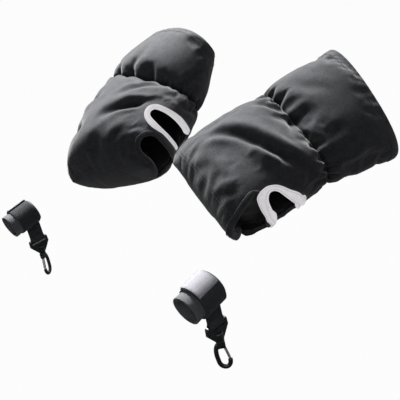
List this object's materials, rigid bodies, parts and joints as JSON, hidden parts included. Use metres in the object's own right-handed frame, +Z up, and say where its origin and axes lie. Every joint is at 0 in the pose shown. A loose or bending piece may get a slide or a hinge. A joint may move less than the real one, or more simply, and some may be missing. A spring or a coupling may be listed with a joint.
{
  "type": "stroller hand muff set",
  "caption": "Pair of padded hand muffs with cuffs, bar openings and closing flaps for a pushchair's push bar, with matching strap hooks.",
  "frame": {"origin": "On the push bar's axis, midway between the two muffs, where the bar holds the set up.", "axes": "+X runs along the bar to the user's left-hand side, -Y points ahead, down the bar's legs, and +Z is up. Metres."},
  "size_m": [0.5384, 0.4574, 0.3544],
  "materials": {
    "softshell": "heathered matt softshell",
    "wadding": "polyester wadding",
    "fleece": "short pile fleece",
    "elastic": "woven elastic",
    "reflective": "reflective tape",
    "tape": "hook and loop",
    "pad": "foam-backed fabric",
    "strap": "woven strap",
    "patch": "grey woven patch",
    "webbing": "narrow webbing",
    "plastic": "satin moulded plastic",
    "steel": "bright plated steel"
  },
  "bodies": {
    "left_muff": {"left_hand_shell": "softshell", "left_hand_wadding": "wadding", "left_hand_lining": "fleece", "left_cuff_shell": "softshell", "left_cuff_wadding": "wadding", "left_cuff_lining": "fleece", "left_wrist_elastic": "elastic", "left_slot_binding_outer": "reflective", "left_slot_binding_inner": "reflective", "left_closing_tape_loop": "tape"},
    "left_flap": {"left_flap_shell": "softshell", "left_flap_wadding": "wadding", "left_flap_lining": "fleece", "left_closing_tape_hook": "tape"},
    "right_muff": {"right_hand_shell": "softshell", "right_hand_wadding": "wadding", "right_hand_lining": "fleece", "right_cuff_shell": "softshell", "right_cuff_wadding": "wadding", "right_cuff_lining": "fleece", "right_wrist_elastic": "elastic", "right_slot_binding_outer": "reflective", "right_slot_binding_inner": "reflective", "right_closing_tape_loop": "tape"},
    "right_flap": {"right_flap_shell": "softshell", "right_flap_wadding": "wadding", "right_flap_lining": "fleece", "right_closing_tape_hook": "tape"},
    "left_hook_sleeve": {"left_hook_leg_pad": "pad", "left_hook_strap": "strap", "left_hook_grey_patch": "patch", "left_hook_webbing_loop": "webbing"},
    "left_hook_swivel": {"left_hook_swivel_base": "plastic"},
    "left_hook_snap": {"left_hook_snap_hook": "plastic", "left_hook_gate_pin": "steel", "left_hook_gate_spring": "steel"},
    "left_hook_gate_arm": {"left_hook_gate": "steel"},
    "right_hook_sleeve": {"right_hook_leg_pad": "pad", "right_hook_strap": "strap", "right_hook_grey_patch": "patch", "right_hook_webbing_loop": "webbing"},
    "right_hook_swivel": {"right_hook_swivel_base": "plastic"},
    "right_hook_snap": {"right_hook_snap_hook": "plastic", "right_hook_gate_pin": "steel", "right_hook_gate_spring": "steel"},
    "right_hook_gate_arm": {"right_hook_gate": "steel"}
  },
  "joints": [
    {"name": "left_flap_hinge", "type": "hinge", "parent": "left_muff", "child": "left_flap", "pos_m": [0.12147, -0.0283, -0.06678], "axis": [-0.923, 0.1667, 0.3467], "range_deg": [0, 130]},
    {"name": "right_muff_turn", "type": "hinge", "parent": "left_muff", "child": "right_muff", "pos_m": [0, 0, 0], "axis": [1, 0, 0], "range_deg": [-25, 30]},
    {"name": "right_flap_hinge", "type": "hinge", "parent": "right_muff", "child": "right_flap", "pos_m": [-0.11497, -0.0094, -0.08023], "axis": [-0.9638, -0.1353, -0.2296], "range_deg": [0, 130]},
    {"name": "left_hook_leg_turn", "type": "hinge", "parent": "left_muff", "child": "left_hook_sleeve", "pos_m": [0.23, -0.163, -0.093], "axis": [0, -0.9816, -0.1908], "range_deg": [-60, 60]},
    {"name": "left_hook_base_swing", "type": "hinge", "parent": "left_hook_sleeve", "child": "left_hook_swivel", "pos_m": [0.23, -0.153, -0.145], "axis": [0, 1, 0], "range_deg": [-50, 50]},
    {"name": "left_hook_snap_swivel", "type": "hinge", "parent": "left_hook_swivel", "child": "left_hook_snap", "pos_m": [0.23, -0.153, -0.163], "axis": [0, 0, 1], "continuous": true},
    {"name": "left_hook_gate_hinge", "type": "hinge", "parent": "left_hook_snap", "child": "left_hook_gate_arm", "pos_m": [0.23222, -0.15016, -0.1786], "axis": [-0.788, 0.6157, 0], "range_deg": [0, 20], "stiffness_Nm_per_rad": 0.02, "springref_deg": -17.19, "deforming": ["left_hook_gate_spring"]},
    {"name": "right_hook_leg_turn", "type": "hinge", "parent": "left_muff", "child": "right_hook_sleeve", "pos_m": [-0.23, -0.163, -0.093], "axis": [0, -0.9816, -0.1908], "range_deg": [-60, 60]},
    {"name": "right_hook_base_swing", "type": "hinge", "parent": "right_hook_sleeve", "child": "right_hook_swivel", "pos_m": [-0.23, -0.153, -0.145], "axis": [0, 1, 0], "range_deg": [-50, 50]},
    {"name": "right_hook_snap_swivel", "type": "hinge", "parent": "right_hook_swivel", "child": "right_hook_snap", "pos_m": [-0.23, -0.153, -0.163], "axis": [0, 0, 1], "continuous": true},
    {"name": "right_hook_gate_hinge", "type": "hinge", "parent": "right_hook_snap", "child": "right_hook_gate_arm", "pos_m": [-0.2282, -0.15612, -0.1786], "axis": [0.866, 0.5, 0], "range_deg": [0, 20], "stiffness_Nm_per_rad": 0.02, "springref_deg": -17.19, "deforming": ["right_hook_gate_spring"]}
  ]
}
